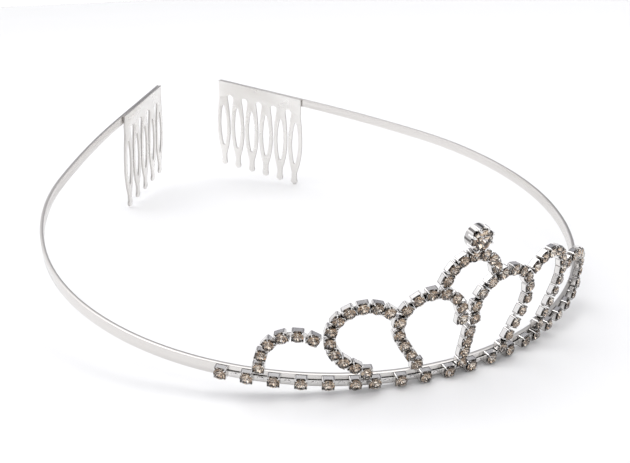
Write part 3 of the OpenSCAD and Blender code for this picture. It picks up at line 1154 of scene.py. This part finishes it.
bpy.ops.object.select_all(action="DESELECT")
bpy.ops.mesh.primitive_cylinder_add(
    vertices=TOP_CLAW_SIDES, radius=TOP_CLAW_R, depth=TOP_CLAW_SHAFT,
    rotation=(math.pi / 2, 0, 0), location=(top_cup_d / 2, TOP_CLAW_SHAFT / 2 - top_depth, 0),
)
claw = bpy.context.object
bpy.ops.object.transform_apply(location=True, rotation=True, scale=True)
bend_claw(claw, TOP_CLAW_BENDS, (-1, 0, 0))
claws = copies(
    claw, [Matrix.Rotation((i + 0.5) * 2 * math.pi / TOP_CLAWS, 4, "Y") for i in range(TOP_CLAWS)]
)
bpy.data.objects.remove(claw)
peak = joined([cup] + claws)
tidy_mesh(peak)
bpy.ops.object.shade_smooth_by_angle(angle=math.radians(35))
peak.data.transform(on_crown(top_x, top_h))
finish_piece(peak, "peak_setting", "setting_metal", ["top_setting"], bright_brass)
peak_stone = joined(copies(large_stone, seats([on_crown(top_x, top_h)], top_depth)))
finish_piece(peak_stone, "peak_stone", "stone_glass", ["top_stone"])

# %% Put the models away
for model in (arch_setting, row_setting, small_stone, row_stone, large_stone):
    bpy.data.objects.remove(model)

# %% [markdown]
# ## The table, the light and the camera
# The diadem stands on white paper under soft light. A metal mirror shows its
# surroundings, so the sky of this scene is a room: a bright ring round the ceiling,
# grey right overhead, dim walls, a window on the left, and dark things behind the
# camera. The dim walls give the strip its grey edge, the window lights the settings'
# left walls, and the dark things make the stones sparkle.

# %% White paper
bpy.ops.object.select_all(action="DESELECT")
bpy.ops.mesh.primitive_plane_add(size=8, location=(0, 0, 0))
paper = bpy.context.object
paper.name = "white_paper"
white_paper, tree = new_material("white_paper_sweep")
sheet = add_node(
    tree,
    "ShaderNodeBsdfPrincipled",
    {"Base Color": linear("#FAFAFA"), "Roughness": 0.2, "Specular IOR Level": 0.35},
)
add_node(tree, "ShaderNodeOutputMaterial", {}, {"Surface": sheet.outputs["BSDF"]})
paper.data.materials.append(white_paper)

# %% Sky and lamps
world = bpy.data.worlds.new("studio")
bpy.context.scene.world = world
world.use_nodes = True
world.node_tree.nodes.clear()
tree = world.node_tree
place = add_node(tree, "ShaderNodeTexCoord")
axes = add_node(tree, "ShaderNodeSeparateXYZ", {}, {"Vector": place.outputs["Generated"]})
# From the floor's edge up: a lit sweep, dim walls, a bright ring, a grey middle
sky = add_node(
    tree,
    "ShaderNodeValToRGB",
    {},
    {"Fac": axes.outputs["Z"]},
    stops=(
        (0.0, "#BFBFC0"),
        (0.2, "#B8B8BA"),
        (0.34, "#78787C"),
        (0.7, "#7C7C80"),
        (0.8, "#BEBEC0"),
        (0.9, "#FFFFFF"),
        (0.94, "#FFFFFF"),
        (0.97, "#88888A"),
    ),
)
# A tall window on the left lights the settings' left walls
EDGE_FADE = {"From Min": -0.25, "From Max": -0.5}
window = add_node(tree, "ShaderNodeMapRange", EDGE_FADE, {"Value": axes.outputs["X"]})
lit = add_node(
    tree,
    "ShaderNodeMix",
    {"data_type": "RGBA", 7: linear("#BABABC")},
    {0: window.outputs["Result"], 6: sky.outputs["Color"]},
)
# The room behind the camera: dark things and gaps between lit walls
things = add_node(
    tree,
    "ShaderNodeTexNoise",
    {"Scale": 2.2, "Detail": 1.0},
    {"Vector": place.outputs["Generated"]},
)
room = add_node(
    tree,
    "ShaderNodeValToRGB",
    {},
    {"Fac": things.outputs["Fac"]},
    stops=((0.47, "#1A1A1E"), (0.6, "#C4C4C6")),
)
behind = add_node(tree, "ShaderNodeMapRange", EDGE_FADE, {"Value": axes.outputs["Y"]})
around = add_node(
    tree,
    "ShaderNodeMix",
    {"data_type": "RGBA"},
    {0: behind.outputs["Result"], 6: lit.outputs[2], 7: room.outputs["Color"]},
)
backdrop = add_node(tree, "ShaderNodeBackground", {"Strength": 2.15}, {"Color": around.outputs[2]})
add_node(tree, "ShaderNodeOutputWorld", {}, {"Surface": backdrop.outputs["Background"]})


def soft_box(name, place, size, power):
    """A rectangular lamp that faces the origin, in metres and watts."""
    light = bpy.data.lights.new(name, "AREA")
    light.shape = "RECTANGLE"
    light.size, light.size_y = size
    light.energy = power
    lamp = bpy.data.objects.new(name, light)
    bpy.context.scene.collection.objects.link(lamp)
    lamp.location = place
    lamp.rotation_euler = (-Vector(place)).to_track_quat("-Z", "Y").to_euler()
    print(name, power, "W")


soft_box("back_left_box", (-0.35, 0.45, 0.7), (0.9, 0.75), 1.5)
soft_box("top_box", (0.2, 0.0, 0.9), (0.8, 0.8), 1.5)
soft_box("front_fill", (-0.5, -0.7, 0.5), (0.6, 0.4), 0.34)

# %% The camera
# The place, direction and lens come from matching the strip, the settings and
# the comb teeth of the photograph
camera_place = Vector((-70.427, -170.930, 65.148)) * MM
camera_azimuth = math.radians(-24.733)
camera_elevation = math.radians(18.270)
camera_roll = math.radians(-2.234)
camera = bpy.data.objects.new("camera", bpy.data.cameras.new("camera"))
bpy.context.scene.collection.objects.link(camera)
bpy.context.scene.camera = camera
camera.data.sensor_fit = "HORIZONTAL"
camera.data.sensor_width = 36.0
camera.data.lens = 43.407
camera.data.clip_start = 0.01
camera.data.clip_end = 20.0
back = Vector(
    (
        math.sin(camera_azimuth) * math.cos(camera_elevation),
        -math.cos(camera_azimuth) * math.cos(camera_elevation),
        math.sin(camera_elevation),
    )
)
level = (-back).to_track_quat("-Z", "Y").to_matrix().to_4x4()
camera.matrix_world = (
    Matrix.Translation(camera_place) @ level @ Matrix.Rotation(camera_roll, 4, "Z")
)
bpy.context.scene.view_settings.view_transform = "Standard"
print("camera at", [round(v, 3) for v in camera_place], "lens", round(camera.data.lens, 1), "mm")
